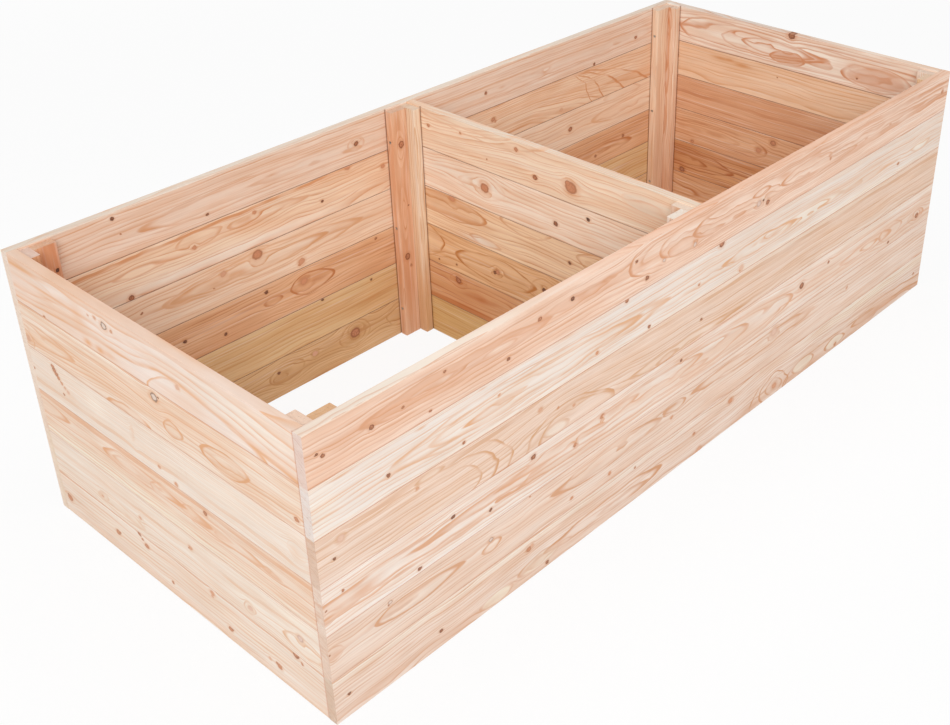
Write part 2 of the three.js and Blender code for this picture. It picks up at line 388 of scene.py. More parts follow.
def drawLoops(tree, loops, place, raw, seedPlace):
    drifting = vectorMaths(tree, "MULTIPLY_ADD", raw, loopDrift["rate"], seedPlace)
    drifting = vectorMaths(tree, "SUBTRACT", noise(tree, drifting, 2.0, 0.4, "Color"), (0.5, 0.5, 0.5))
    steady = vectorMaths(tree, "MULTIPLY_ADD", drifting, loopDrift["reach"], raw)

    def pulls(across, left, reach):        # the other loops are only drawn over the rings
        return across <= loopPull["highest"] and left <= loopPull["longest"] and reach <= loopPull["tallest"]

    def crowd(along, across):        # how many loops lie over this place, which share their pull on the rings
        return sum(-left < along - x < right and abs(across - y) < reach and pulls(y, left, reach)
                   for x, y, left, right, reach, *_ in loops)

    drawn = {"Place": place, "Line": 0.0, "Fill": 0.0}
    for along, across, left, right, reach, strength, tint in loops:
        drawn = useGroup(tree, loopGroup, {
            "Place": drawn["Place"], "Line": drawn["Line"], "Fill": drawn["Fill"], "Steady": steady,
            "Centre": (along, across, 0), "Left": 1 / left, "Right": 1 / right, "Up": 1 / reach,
            "Reach": reach, "Strength": strength, "Tint": tint,
            "Pull": -loopPull["share"] / crowd(along, across) if pulls(across, left, reach) else 0.0,
            "Middle": loopMiddle["long" if max(left, right) > loopMiddle["longFrom"] else "short"]})
    return drawn


def heap(tree, mounds, raw):        # the sum of several soft mounds
    total = 0.0
    for along, across, reachAlong, reachAcross, rise in mounds:
        total = useGroup(tree, swellGroup, {
            "Place": raw, "Total": total, "Centre": (along, across, 0),
            "Narrowness": (1 / reachAlong, 1 / reachAcross, 0), "Height": rise})["Total"]
    return total


# with a farSide, the inside face keeps the colours that hold painted shade, and the wood behind it turns to
# the outside tone
def faceTones(tree, look, raw):
    def threeTones(early, late):
        return {"Early": early, "Late": late, "Blush": midway(early, late, 0.5)}

    near = threeTones(look["early"], look["late"])
    if not look["farSide"]:
        return {key: paint(*near[key]) for key in near}
    outer = threeTones(*look["farSide"])
    through = fade(tree, splitAxes(tree, raw)[2], *outsideShare["through"])
    return {key: blendColour(tree, through, paint(*near[key]),
                             paint(*midway(near[key], outer[key], outsideShare["tone"]))) for key in near}


def dressTimber(name, ownLook, order, scale, offset, seams, seed):        # order is along, up, through
    look = {**timberDefaults, **tones[ownLook.get("tone", "peach")], **ownLook}
    dice = random.Random(seed)
    seedPlace = tuple(dice.uniform(0, 90) for _ in range(3))
    material = bpy.data.materials.new(name + "_wood")
    material.use_nodes = True
    tree = material.node_tree
    tree.nodes.clear()
    axes = splitAxes(tree, addNode(tree, "ShaderNodeTexCoord").outputs["Object"])
    turned = {i: axes["XYZ".index(axis)] for i, axis in enumerate(order)}
    raw = addNode(tree, "ShaderNodeCombineXYZ", turned).outputs[0]
    raw = vectorMaths(tree, "MULTIPLY_ADD", raw, scale, offset)
    normal = addNode(tree, "ShaderNodeNewGeometry").outputs["True Normal"]

    def facing(axis, low, high):        # 1 on the faces that look along this axis
        direction = tuple(1.0 if axis == other else 0.0 for other in "XYZ")
        towards = maths(tree, "ABSOLUTE", vectorMaths(tree, "DOT_PRODUCT", normal, direction))
        return fade(tree, towards, low, high)

    knotted = drawKnots(tree, look["knots"], raw, seedPlace)
    drawn = drawLoops(tree, look["loops"], knotted["Place"], raw, seedPlace)
    wood = useGroup(tree, timberGroup, {
        "Place": drawn["Place"], "Raw": raw, "Line": drawn["Line"], "Fill": drawn["Fill"],
        "Nearest": knotted["Nearest"], "Shade": knotted["Shade"], "Seed": seedPlace,
        "Swell": heap(tree, look["swells"], raw), "Stain": heap(tree, look["stains"], raw),
        "Contact": heap(tree, look["contacts"], raw), **faceTones(tree, look, raw),
        "Pith": (0, *look["pith"]), "Spacing": look["spacing"], "Wander": look["wander"],
        "Taper": look["taper"], "Blush amount": look["blush"], "Warming": look["warming"],
        "Sap": paint(*look["sap"]), "Sap from": look["sapFrom"],
        "End": facing(order[0], 0.6, 0.95), "End tint": paint(*look["endTint"]),
        # the strength of the painted groove shade and highlight, on the broad faces and their bevels
        "Seam shading": maths(tree, "MULTIPLY", facing(order[2], 0.3, 0.6), look["seamShade"]),
        "Seam shade tint": paint(*look["seamShadeTint"]), "Low seam": seams[0], "High seam": seams[1]})
    bump = addNode(tree, "ShaderNodeBump", {
        "Strength": timberGloss["relief"], "Distance": timberGloss["reliefDepth"], "Height": wood["Height"]})
    shader = addNode(tree, "ShaderNodeBsdfPrincipled", {
        "Base Color": wood["Color"], "Roughness": wood["Roughness"], "Normal": bump.outputs[0],
        "IOR": timberGloss["ior"], "Specular IOR Level": timberGloss["specular"]})
    target = addNode(tree, "ShaderNodeOutputMaterial")
    tree.links.new(shader.outputs[0], target.inputs["Surface"])
    putMaterial(parts[name], material)


def putMaterial(piece, material):
    if not piece.material_slots:
        piece.data.materials.append(material)
    for slot in piece.material_slots:
        slot.material = material


# The boards of each panel, lowest first. Places are in mm along the board and up from its lower edge.
# A knot is (along, up, radius, shade from pale 0 to dark 1).
# A loop is (along, up, reach left, reach right, reach up and down, line strength, tint inside it).
# A swell in the rings is (along, up, reach along, reach up, rise).
# A stain is (along, up, reach along, reach up, depth). Below 0, a tint or a stain is pale, like sapwood.

# front wall, from its left end
frontWallBoards = {
    1: dict(
        early=(241, 226, 215), late=(209, 154, 114), sap=(242, 233, 215), blush=0.7, endTint=(200, 170, 144),
        pith=(-20, 50), spacing=6.8, wander=9,
        knots=((31, 50, 5, 0.75), (244, 37, 6, 0.7), (526, 10, 6, 0.6), (475, 76, 8, 0.36),
            (484, 80, 6, 0.24), (795, 85, 4, 0.4), (998, 59, 6, 0.35), (1020, 5, 9, 0.25),
            (1132, 76, 9, 0.3), (1140, 74, 6, 0.24), (1312, 25, 10, 0.28), (1582, 11, 7, 0.35),
            (1965, 50, 5, 0.4)),
        loops=((385, 18, 44, 44, 14, 0.6, -0.8), (505, 30, 66, 60, 18, 0.7, -0.4),
            (750, 38, 230, 137, 20, 1.0, 0), (760, 30, 80, 80, 9, 0.8, 0.1), (1300, 8, 90, 900, 58, 1.0, 0),
            (1420, 2, 70, 620, 42, 1.0, 0.1), (1312, 20, 62, 58, 42, 1.15, 0),
            (1312, 22, 36, 34, 24, 0.8, 0.1), (1432, 26, 46, 46, 20, 0.8, -0.7),
            (1578, 20, 48, 48, 16, 1.0, -0.7), (1720, 26, 60, 70, 14, 0.9, 0.3)),
        swells=((250, 10, 120, 40, -8),),
        stains=((120, 22, 110, 7, 0.35), (300, 14, 60, 10, 0.35), (350, 92, 700, 9, -0.45),
            (1750, 86, 300, 15, -0.8), (1220, 16, 50, 12, 0.5), (1850, 16, 130, 16, 0.35))),
    2: dict(
        early=(240, 222, 208), late=(214, 162, 126), blush=0.6, pith=(-30, 56), spacing=7.8, wander=6,
        knots=((2, 60, 2.5, 0.5), (135, 83, 6, 0.05), (132, 78, 3, 0.5), (377, 63, 7, 0.06),
            (482, 99, 3, 0.35), (598, 25, 6, 0.3), (713, 18, 6, 0.3), (914, 47, 6, 0.28),
            (1290, 82, 12, 0.17), (1607, 61, 6, 0.27)),
        loops=((175, 56, 74, 132, 18, 1.1, -0.12), (378, 47, 24, 25, 11, 0.95, -0.2),
            (720, 63, 174, 158, 24, 1.1, -0.08), (924, 71, 38, 37, 14, 1.0, -0.2),
            (1200, 72, 214, 260, 19, 1.1, -0.05), (8, 58, 18, 20, 15, 0.9, 0),
            (1300, 74, 110, 110, 9, 0.5, -0.1))),
    3: dict(
        early=(246, 240, 233), late=(221, 168, 132), blush=0.6, warming=0.0005, pith=(-30, 60), spacing=7.4,
        wander=6, taper=0.01,
        knots=((42, 73, 4, 0.45), (6, 54, 3, 0.5), (288, 72, 6, 0.75), (379, 31, 6, 0.75),
            (205, 10, 6, 0.65), (492, 84, 8, 0.55), (608, 47, 7, 0.36), (613, 45, 5, 0.24),
            (687, 71, 8, 0.34), (690, 70, 6, 0.2), (937, 77, 6, 0.65), (1391, 58, 10, 0.55),
            (1503, 74, 6, 0.45), (1793, 11, 6, 0.6), (1932, 33, 9, 0.45)),
        loops=((1200, 47, 1500, 150, 36, 0.85, 0), (1040, 52, 1300, 142, 29, 0.95, 0),
            (900, 56, 700, 112, 20, 0.85, 0), (700, 62, 300, 94, 13, 0.85, 0),
            (8, 37, 30, 36, 12, 0.8, -0.3), (1690, 42, 130, 110, 18, 0.95, 0),
            (1690, 43, 44, 46, 9, 0.9, -0.4), (1800, 42, 60, 56, 22, 0.8, 0),
            (1922, 36, 34, 42, 16, 0.95, 0)),
        stains=((1800, 95, 300, 8, -0.7),)),
    4: dict(
        early=(241, 219, 204), late=(214, 162, 120), blush=0.5, warming=0.0003, endTint=(206, 172, 148),
        pith=(-25, 50), spacing=5.4, wander=6, taper=0.004,
        knots=((50, 77, 9, 0.18), (33, 46, 5, 0.75), (212, 78, 5, 0.27), (513, 78, 7, 0.25),
            (1000, 46, 5, 0.6), (560, 57, 4, 0.32), (604, 40, 5, 0.27)),
        loops=((575, 0, 104, 150, 58, 1.0, 0.05), (592, 0, 92, 130, 46, 0.8, 0),
            (555, 16, 44, 34, 12, 0.5, -0.4), (300, 26, 2200, 140, 72, 0.9, 0),
            (300, 26, 2200, 100, 56, 0.95, 0), (300, 26, 2200, 62, 40, 0.8, 0),
            (242, 86, 36, 36, 7, 0.7, -0.45), (860, 14, 88, 300, 12, 0.95, -0.2),
            (880, 8, 30, 46, 8, 0.7, 0.1)),
        stains=((1400, 94, 650, 5, -0.5), (150, 4, 200, 5, -0.3), (1600, 10, 300, 8, -0.25),
            (1500, 60, 260, 5, 0.25))),
    5: dict(
        early=(240, 232, 225), late=(225, 173, 132), blush=0.4, warming=0.0003, endTint=(220, 208, 204),
        pith=(-30, 50), spacing=6.2, wander=6,
        knots=((155, 39, 6, 0.62), (322, 11, 5, 0.45), (409, 63, 4, 0.27), (669, 24, 6, 0.3),
            (754, 99, 7, 0.5), (1057, 99, 10, 0.5), (985, 34, 5, 0.35), (825, 9, 6, 0.5), (1134, 10, 9, 0.2),
            (1130, 6, 5, 0.27), (1788, 26, 6, 0.4)),
        loops=((430, 46, 272, 446, 35, 0.75, 0), (430, 46, 184, 365, 25, 0.85, -0.12),
            (396, 44, 73, 73, 9, 0.9, 0.28), (1190, 45, 127, 148, 16, 1.05, -0.2),
            (1240, 45, 40, 90, 7, 0.4, 0.3), (1400, 45, 150, 130, 13, 0.4, -0.7),
            (1893, 42, 40, 44, 11, 0.5, -0.8), (1640, 40, 110, 120, 9, 0.4, 0.2)),
        # the pale stain at up 100 is a painted highlight along the board's top edge, at the groove
        stains=((900, 2, 1500, 5, -0.9), (180, 100, 380, 3, -0.6), (60, 92, 24, 2.5, 0.8),
            (230, 91, 12, 2.5, 0.8), (370, 96, 10, 2.5, 0.6), (585, 98, 30, 3, 0.6), (20, 50, 30, 60, -0.5),
            (1650, 62, 240, 5, 0.35), (1650, 8, 260, 6, -0.7), (1600, 94, 300, 8, -0.3))),
    6: dict(
        early=(245, 216, 196), late=(216, 154, 114), sap=(240, 230, 216), blush=0.7, warming=-0.0003,
        endTint=(220, 206, 202), pith=(-20, 60), spacing=6.2, wander=7, taper=-0.01,
        knots=((23, 55, 4, 0.7), (34, 47, 5, 0.55), (130, 47, 7, 0.55), (195, 50, 4, 0.5),
            (288, 71, 5, 0.55), (435, 24, 6, 0.65), (514, 67, 6, 0.45), (600, 70, 7, 0.8),
            (252, 13, 4, 0.45), (780, 71, 5, 0.7), (813, 22, 7, 0.62), (865, 39, 6, 0.1), (963, 34, 7, 0.1),
            (1183, 42, 9, 0.12), (1199, 44, 4, 0.9), (1216, 33, 8, 0.5), (1459, 50, 5, 0.35),
            (1972, 55, 7, 0.35)),
        loops=((310, 56, 200, 230, 22, 0.7, 0.3), (262, 57, 52, 52, 7, 0.5, -0.15),
            (412, 55, 38, 38, 7, 0.4, -0.1), (600, 66, 90, 110, 12, 0.6, 0.2),
            (830, 60, 75, 1500, 36, 0.95, 0), (925, 60, 75, 1500, 30, 0.95, 0),
            (1035, 60, 80, 1500, 24, 0.95, 0), (1190, 66, 27, 27, 9, 0.9, 0),
            (1340, 58, 78, 900, 17, 0.95, 0), (1500, 58, 46, 400, 10, 0.7, 0)),
        swells=((700, 20, 500, 60, 10), (1215, 30, 50, 16, 8)),
        # the stains at up 100.5 and 101 are painted on the top edge: the pale one at the left a painted
        # highlight, the darker ones painted shade
        stains=((700, 54, 70, 5, 0.45), (60, 50, 80, 30, 0.2), (1185, 42, 22, 10, -0.8),
            (190, 100.5, 330, 2.4, -0.9), (700, 101, 200, 2.4, 0.25), (1150, 101, 420, 2.4, 0.42),
            (1800, 101, 400, 2.4, 0.42))),
}

# left end, from the back corner
leftEndBoards = {
    1: dict(
        early=(238, 225, 213), late=(222, 172, 132), blush=0.5, pith=(-50, 50), spacing=8.5, wander=9,
        knots=((308, 97, 7, 0.42), (328, 78, 8, 0.36), (316, 88, 5, 0.38), (540, 90, 8, 0.27),
            (538, 82, 5, 0.25), (780, 98, 9, 0.42), (795, 88, 5, 0.33), (42, 42, 10, 0.36),
            (36, 48, 5, 0.45), (222, 53, 8, 0.36), (230, 56, 4, 0.4), (402, 32, 6, 0.35), (582, 30, 8, 0.36),
            (588, 32, 5, 0.42), (725, 34, 8, 0.33), (718, 38, 4, 0.4), (698, 36, 5, 0.22)),
        stains=((250, 60, 120, 14, -0.6), (640, 60, 110, 14, -0.6), (440, 12, 200, 8, 0.2),
            (120, 20, 90, 14, 0.2))),
    2: dict(
        early=(241, 229, 217), late=(223, 177, 138), blush=0.4, pith=(-40, 44), spacing=4.8, wander=7,
        knots=((492, 68, 7, 0.27), (486, 66, 3, 0.4), (325, 45, 6, 0.25), (190, 26, 5, 0.25),
            (660, 30, 8, 0.17), (800, 50, 9, 0.12)),
        loops=((248, 24, 78, 86, 17, 0.7, -0.15), (195, 28, 17, 19, 10, 0.7, 0.15),
            (330, 40, 11, 11, 14, 0.6, 0), (812, 34, 64, 46, 21, 0.85, -0.2),
            (659, 28, 16, 18, 13, 0.7, 0.1)),
        swells=((500, 66, 50, 16, -5),),
        stains=((800, 84, 60, 14, -0.9), (660, 44, 50, 10, -0.7), (200, 60, 120, 8, 0.25),
            (420, 90, 200, 6, -0.5))),
    3: dict(
        early=(240, 222, 206), late=(223, 165, 121), sap=(241, 228, 210), blush=0.7, pith=(-40, 56),
        spacing=6.0, wander=5,
        knots=((565, 88, 7, 0.42),),
        loops=((10, 66, 200, 112, 17, 0.8, 0), (300, 64, 64, 200, 18, 0.85, 0.12),
            (300, 63, 36, 120, 9, 0.5, 0.15), (425, 62, 36, 150, 18, 0.75, 0), (430, 62, 18, 60, 8, 0.5, 0),
            (532, 60, 44, 190, 19, 0.75, 0), (580, 60, 20, 60, 9, 0.4, 0.1),
            (740, 58, 30, 32, 7, 0.7, 0.35)),
        stains=((240, 0, 420, 28, -1.5), (200, 98, 290, 3, 0.6))),
    4: dict(
        early=(239, 226, 214), late=(229, 187, 152), blush=0.35, pith=(-80, 60), spacing=5.2, wander=7,
        knots=((103, 88, 7, 0.36), (107, 81, 8, 0.4), (112, 74, 8, 0.38), (118, 67, 7, 0.33),
            (125, 60, 6, 0.28), (134, 53, 6, 0.24), (144, 47, 6, 0.22), (22, 50, 5, 0.4), (125, 34, 5, 0.4),
            (437, 22, 6, 0.27), (485, 8, 7, 0.27)),
        loops=((822, 52, 23, 25, 22, 0.4, 0.15), (364, 58, 9, 10, 20, 0.3, 0.12)),
        swells=((110, 74, 26, 30, 7),),
        stains=((150, 44, 22, 10, 0.3), (525, 60, 2, 30, 0.3), (240, 66, 40, 22, -0.8),
            (820, 50, 14, 16, 0.3), (620, 60, 180, 24, -0.4), (60, 20, 100, 12, 0.2),
            (364, 58, 6, 16, 0.35))),
    5: dict(
        early=(242, 225, 209), late=(223, 165, 119), blush=0.7, endTint=(226, 206, 196), pith=(-40, 50),
        spacing=6.4, wander=6,
        knots=((465, 83, 11, 0.0), (478, 88, 3, 0.6), (836, 24, 7, 0.35), (28, 20, 9, 0.25)),
        loops=((60, 40, 200, 135, 22, 0.7, 0.1), (507, 37, 30, 31, 17, 0.95, 0.12),
            (655, 40, 68, 67, 23, 1.15, 0.2), (655, 40, 38, 40, 10, 0.2, -0.1),
            (350, 0, 52, 82, 17, 0.95, 0.2), (28, 20, 24, 24, 20, 0.8, 0.15)),
        swells=((465, 60, 60, 16, 6),),
        stains=((150, 2, 60, 3, 0.7), (780, 8, 90, 3, 0.5), (260, 96, 170, 5, -0.9), (240, 76, 240, 3, 0.5),
            (800, 60, 90, 14, -0.3), (560, 70, 120, 8, 0.3))),
    6: dict(
        early=(241, 225, 215), late=(229, 175, 132), blush=0.6, pith=(-60, 60), spacing=19.0, wander=6,
        knots=((339, 72, 10, 0.0), (335, 68, 4, 0.5), (548, 40, 7, 0.22), (118, 2, 6, 0.35),
            (312, 78, 6, 0.25), (290, 74, 4, 0.25), (362, 70, 5, 0.27)),
        loops=((532, -2, 78, 250, 50, 0.85, 0.06), (20, 60, 200, 150, 30, 0.35, 0.15)),
        swells=((1000, 30, 330, 120, 30), (30, 60, 150, 60, 14)),
        # the stain at up 101 is painted shade on the top edge
        stains=((800, 101, 110, 2.4, 0.35), (60, 84, 90, 5, 1.0), (170, 62, 100, 3, 0.8),
            (150, 30, 150, 26, 0.32), (270, 10, 14, 8, 0.9), (308, 10, 14, 8, 0.9), (340, 12, 20, 8, 0.5),
            (740, 62, 150, 28, -0.6), (250, 98, 300, 3, 0.6), (250, 60, 24, 30, 0.4))),
}

# back wall, seen from inside, from its left end. Its colours are the wood's tone with the painted shade and
# warm bounce light of the bed's inside, darker and yellower on the lower boards.
backWallBoards = {
    1: dict(
        early=(230, 198, 154), late=(193, 137, 82), pith=(-30, 50), spacing=7.0, wander=8,
        knots=((778, 68, 14, 0.42), (547, 65, 6, 0.75), (654, 67, 9, 0.23)),
        loops=((778, 66, 47, 46, 36, 0.6, 0.05), (567, 54, 52, 54, 29, 0.7, 0.08),
            (546, 50, 20, 20, 12, 0.7, 0.2), (920, 60, 40, 60, 34, 0.6, 0))),
    2: dict(
        early=(235, 208, 163), late=(207, 149, 92), warming=0.0003, pith=(-30, 60), spacing=7.0, wander=7,
        knots=((692, 98, 6, 0.9), (841, 89, 5, 0.85)),
        stains=((845, 38, 75, 7, 0.7), (640, 50, 200, 10, 0.2))),
    3: dict(
        early=(239, 199, 161), late=(198, 128, 80), warming=0.0002, pith=(-30, 60), spacing=8.0, wander=6,
        knots=((325, 55, 6, 0.9), (543, 82, 6, 0.85), (426, 27, 6, 0.85), (647, 66, 11, 0.3),
            (865, 90, 5, 0.5), (1673, 33, 6, 0.45), (1794, 57, 6, 0.5)),
        loops=((661, 57, 54, 68, 28, 1.1, 0.08), (554, 53, 26, 27, 11, 1.0, 0.2),
            (1700, 38, 320, 130, 18, 0.95, 0), (1650, 40, 160, 90, 9, 0.6, 0))),
    4: dict(
        early=(247, 224, 202), late=(221, 167, 123), pith=(-40, 60), spacing=8.4, wander=7,
        knots=((442, 71, 9, 0.26), (533, 81, 13, 0.36), (646, 18, 10, 0.28), (640, 12, 6, 0.32),
            (241, 62, 4, 0.5), (414, 47, 3, 0.4), (1566, 48, 9, 0.45)),
        loops=((570, 58, 280, 255, 31, 0.75, 0), (521, 58, 208, 206, 20, 0.9, 0),
            (1790, 42, 140, 500, 22, 0.8, 0), (1790, 90, 80, 80, 18, 0.6, 0))),
    5: dict(
        early=(252, 232, 208), late=(216, 151, 104), sap=(250, 238, 224), warming=0.0004, pith=(-20, 60),
        spacing=7.6, wander=9,
        knots=((383, 58, 7, 0.3), (540, 81, 6, 0.3), (801, 98, 9, 0.3), (720, 42, 5, 0.75),
            (904, 65, 8, 0.3), (225, 6, 8, 0.6), (1273, 67, 8, 0.34), (1280, 60, 5, 0.3),
            (1530, 15, 6, 0.24)),
        loops=((251, 57, 62, 72, 11, 0.6, 0), (391, 74, 50, 62, 19, 0.6, 0), (520, 70, 50, 160, 12, 0.6, 0),
            (1560, -60, 5000, 108, 165, 1.3, 0), (1560, -60, 5000, 172, 164, 1.3, 0),
            (1560, -60, 5000, 270, 162.5, 1.3, 0), (1560, -60, 5000, 395, 161, 1.3, 0)),
        swells=((1350, 0, 330, 90, -60), (640, 60, 70, 24, -8)),
        stains=((430, 13, 290, 13, -1.3), (110, 60, 60, 14, 0.3))),
    6: dict(
        early=(243, 221, 204), late=(218, 162, 121), sap=(222, 210, 196), pith=(-40, 50), spacing=7.6,
        wander=6,
        knots=((217, 88, 6, 0.8), (426, 18, 5, 0.75), (831, 45, 8, 0.6), (228, 50, 2.5, 0.4),
            (1250, 44, 6, 0.6), (1840, 34, 7, 0.5), (1663, 5, 6, 0.7)),
        loops=((421, 42, 152, 3000, 22, 0.9, 0), (700, 44, 160, 2500, 10, 0.5, -0.1),
            (831, 45, 24, 26, 18, 0.5, -0.15)),
        swells=((831, 45, 30, 16, -4),),
        # the stain at up 100.5 is painted shade on the top edge, toward this board's greyish sap colour
        stains=((1000, 100.5, 3000, 2.4, -0.85),)),
}

# divider, from its front end. Its colours are the wood's tone with the painted shade and warm bounce light of
# the bed's inside, darker and yellower on the lower boards.
dividerBoards = {
    1: dict(
        early=(223, 191, 135), late=(199, 145, 82), pith=(-50, 60), spacing=7.0, wander=6),
    2: dict(
        early=(225, 178, 133), late=(193, 117, 64), pith=(54, 50), spacing=8.0, wander=8,
        knots=((686, 78, 10, 0.5), (692, 84, 5, 0.6)),
        loops=((686, 78, 30, 32, 20, 0.3, 0.2),),
        stains=((680, 6, 160, 8, 0.8), (640, 14, 90, 3, 0.8))),
    3: dict(
        early=(241, 205, 163), late=(196, 128, 68), pith=(-40, 50), spacing=10, wander=5,
        knots=((405, 57, 8, 0.8), (552, 50, 9, 0.34), (560, 46, 7, 0.75), (690, 20, 4, 0.7),
            (750, 14, 4, 0.7)),
        loops=((557, 49, 130, 130, 36, 0.95, 0.05), (800, 58, 70, 400, 46, 0.9, -0.1),
            (405, 55, 60, 40, 30, 0.5, 0), (400, 20, 160, 60, 14, 0.4, 0))),
    4: dict(
        early=(252, 227, 195), late=(206, 142, 90), pith=(-40, 44), spacing=8.4, wander=7,
        knots=((328, 55, 6, 0.75), (695, 95, 10, 0.3)),
        loops=((690, 68, 104, 260, 29, 0.85, 0.3), (240, 76, 200, 63, 26, 0.75, 0),
            (240, 74, 150, 40, 14, 0.4, 0), (470, 98, 90, 70, 24, 0.6, 0), (600, 16, 60, 40, 10, 0.5, -0.5)),
        swells=((560, 30, 90, 24, 8),),
        stains=((620, 12, 46, 7, -0.9),)),
    5: dict(
        early=(253, 238, 222), late=(224, 170, 126), pith=(-30, 46), spacing=8.0, wander=8,
        knots=((276, 79, 7, 0.95), (369, 38, 8, 0.7), (585, 56, 13, 0.36)),
        loops=((580, 56, 60, 90, 30, 0.3, 0),),
        stains=((630, 58, 40, 16, -0.8), (735, 72, 60, 20, -0.7), (250, 60, 40, 8, -0.6),
            (555, 62, 16, 16, -0.5))),
    6: dict(
        early=(252, 233, 210), late=(224, 164, 118), sap=(219, 203, 186), pith=(130, 46), spacing=7.4,
        wander=7,
        knots=((325, 38, 15, 0.36), (334, 46, 9, 0.36), (429, 30, 8, 0.48), (484, 80, 7, 0.36),
            (762, 59, 6, 0.36), (658, 70, 4, 0.35), (575, 30, 3, 0.4)),
        loops=((560, 112, 170, 300, 44, 0.6, 0), (600, 110, 120, 240, 28, 0.5, 0),
            (130, 60, 200, 60, 20, 0.4, -0.2)),
        swells=((860, 60, 300, 200, -34), (480, 92, 70, 22, 9)),
        # the stain at up 100.5 is painted shade on the top edge, toward this board's greyish sap colour
        stains=((300, 100.5, 900, 2.4, -1.0), (480, 76, 40, 6, 0.3), (130, 40, 60, 30, -0.4))),
}

# right end, from its front end. Its colours are the wood's tone with the painted shade and warm bounce light
# of the bed's inside, darker and yellower on the lower boards.
rightEndBoards = {
    1: dict(
        early=(224, 178, 138), late=(189, 117, 66), pith=(50, 40), spacing=7.0, wander=9,
        knots=((300, 50, 5, 0.6),)),
    2: dict(
        early=(221, 169, 122), late=(170, 92, 46), pith=(-40, 50), spacing=8.0, wander=8,
        knots=((755, 12, 10, 0.6),),
        loops=((700, 50, 124, 500, 28, 0.9, 0.1), (740, 48, 70, 300, 15, 0.7, 0.1))),
    3: dict(
        early=(231, 187, 150), late=(193, 125, 80), pith=(-40, 46), spacing=8.4, wander=5,
        knots=((450, 82, 10, 0.4), (495, 47, 10, 0.32), (723, 10, 7, 0.4)),
        loops=((530, 47, 66, 600, 26, 0.9, 0), (620, 47, 60, 500, 13, 0.6, 0))),
    4: dict(
        early=(225, 177, 142), late=(193, 125, 80), pith=(-60, 50), spacing=5.4, wander=6),
    5: dict(
        early=(241, 208, 178), late=(215, 157, 110), pith=(-20, 60), spacing=8.4, wander=6,
        knots=((455, 72, 3, 0.5), (792, 57, 7, 0.85)),
        stains=((570, 78, 30, 6, 1.1), (640, 82, 30, 5, 1.0), (610, 84, 12, 4, 0.7),
            (690, 60, 120, 14, 0.15))),
    6: dict(
        early=(248, 239, 226), late=(206, 136, 90), sap=(220, 208, 198), blush=0.6, pith=(-40, 50),
        spacing=9.0, wander=5, taper=0.02,
        knots=((422, 96, 11, 0.6), (218, 28, 4, 0.6)),
        loops=((690, 48, 900, 88, 38, 0.75, 0), (575, 50, 260, 68, 27, 0.85, 0.05),
            (510, 50, 160, 60, 18, 0.75, 0.1), (165, 38, 108, 104, 33, 0.8, 0.45),
            (165, 38, 80, 70, 16, 0.2, 0.52), (430, 32, 54, 52, 19, 0.8, 0.5)),
        # the stains at up 100.5 are painted shade on the top edge, the first toward this board's greyish sap
        # colour
        stains=((580, 100.5, 310, 2.4, -0.85), (60, 100.5, 140, 2.4, 0.22))),
}

# Each panel: the axis that its boards lie along, where they start, which way they are measured, where another
# piece's side meets them and shade is painted in the corner, and the look that its boards share.
# the outer walls' grooves get a lighter, warmer painted shade than the inside walls'
sunlit = dict(seamShade=0.62, seamShadeTint=(190, 104, 58))
shaded = dict(farSide=((241, 218, 198), (217, 164, 122)))        # these boards' own colours hold the painted shade of the bed's inside, and farSide is their outside tone
leftSide = cadBox[0][0]
backFace = cadBox[1][1]
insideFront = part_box("divider_board_1")[0][1]
cornerShade = dict(reach=2.2, depth=1.0)        # painted shade in those corners: its reach in mm, and how dark


def battenSide(name, axis, start):        # mm from a panel's start to the batten's near side
    return (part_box(name)[0][axis] - start) / mm


panels = {
    "front_wall": dict(boards=frontWallBoards, axis="X", start=leftSide, way=1, corners=(), seed=100,
                       shared=sunlit),
    "left_end": dict(boards=leftEndBoards, axis="Y", start=backFace, way=-1, seed=200,
                     corners=((backFace - insideFront) / mm + 0.5,), shared=sunlit),
    "back_wall": dict(boards=backWallBoards, axis="X", start=leftSide, way=1, seed=300,
                      corners=(battenSide("back_middle_wall_batten", 0, leftSide),
                               battenSide("back_right_wall_batten", 0, leftSide)),
                      shared=dict(endTint=(238, 224, 212), **shaded)),
    "divider": dict(boards=dividerBoards, axis="Y", start=insideFront, way=1, seed=400,
                    corners=(battenSide("back_divider_batten", 1, insideFront),), shared=dict()),
    "right_end": dict(boards=rightEndBoards, axis="Y", start=insideFront, way=1, seed=500,
                      corners=(battenSide("back_right_end_batten", 1, insideFront),), shared=shaded),
}


def dressBoard(name, row, look, panel):
    low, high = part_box(name)
    height = (high[2] - low[2]) / mm
    seams = (-boundless if row == 1 else 0, boundless if row == len(panel["boards"]) else height)
    # painted shade along each corner where another piece meets the board
    contacts = [(along, height / 2, cornerShade["reach"], boundless, cornerShade["depth"])
                for along in panel["corners"]]
    throughAxis = "Y" if panel["axis"] == "X" else "X"
    near = low["XYZ".index(throughAxis)]
    scale = (panel["way"] / mm, 1 / mm, 1 / mm)
    offset = (-panel["way"] * panel["start"] / mm, -low[2] / mm, -near / mm)
    dressTimber(name, {**panel["shared"], **look, "contacts": contacts}, panel["axis"] + "Z" + throughAxis,
                scale, offset, seams, panel["seed"] + row)


for panelName, panel in panels.items():
    for row, look in panel["boards"].items():
        dressBoard(f"{panelName}_board_{row}", row, look, panel)
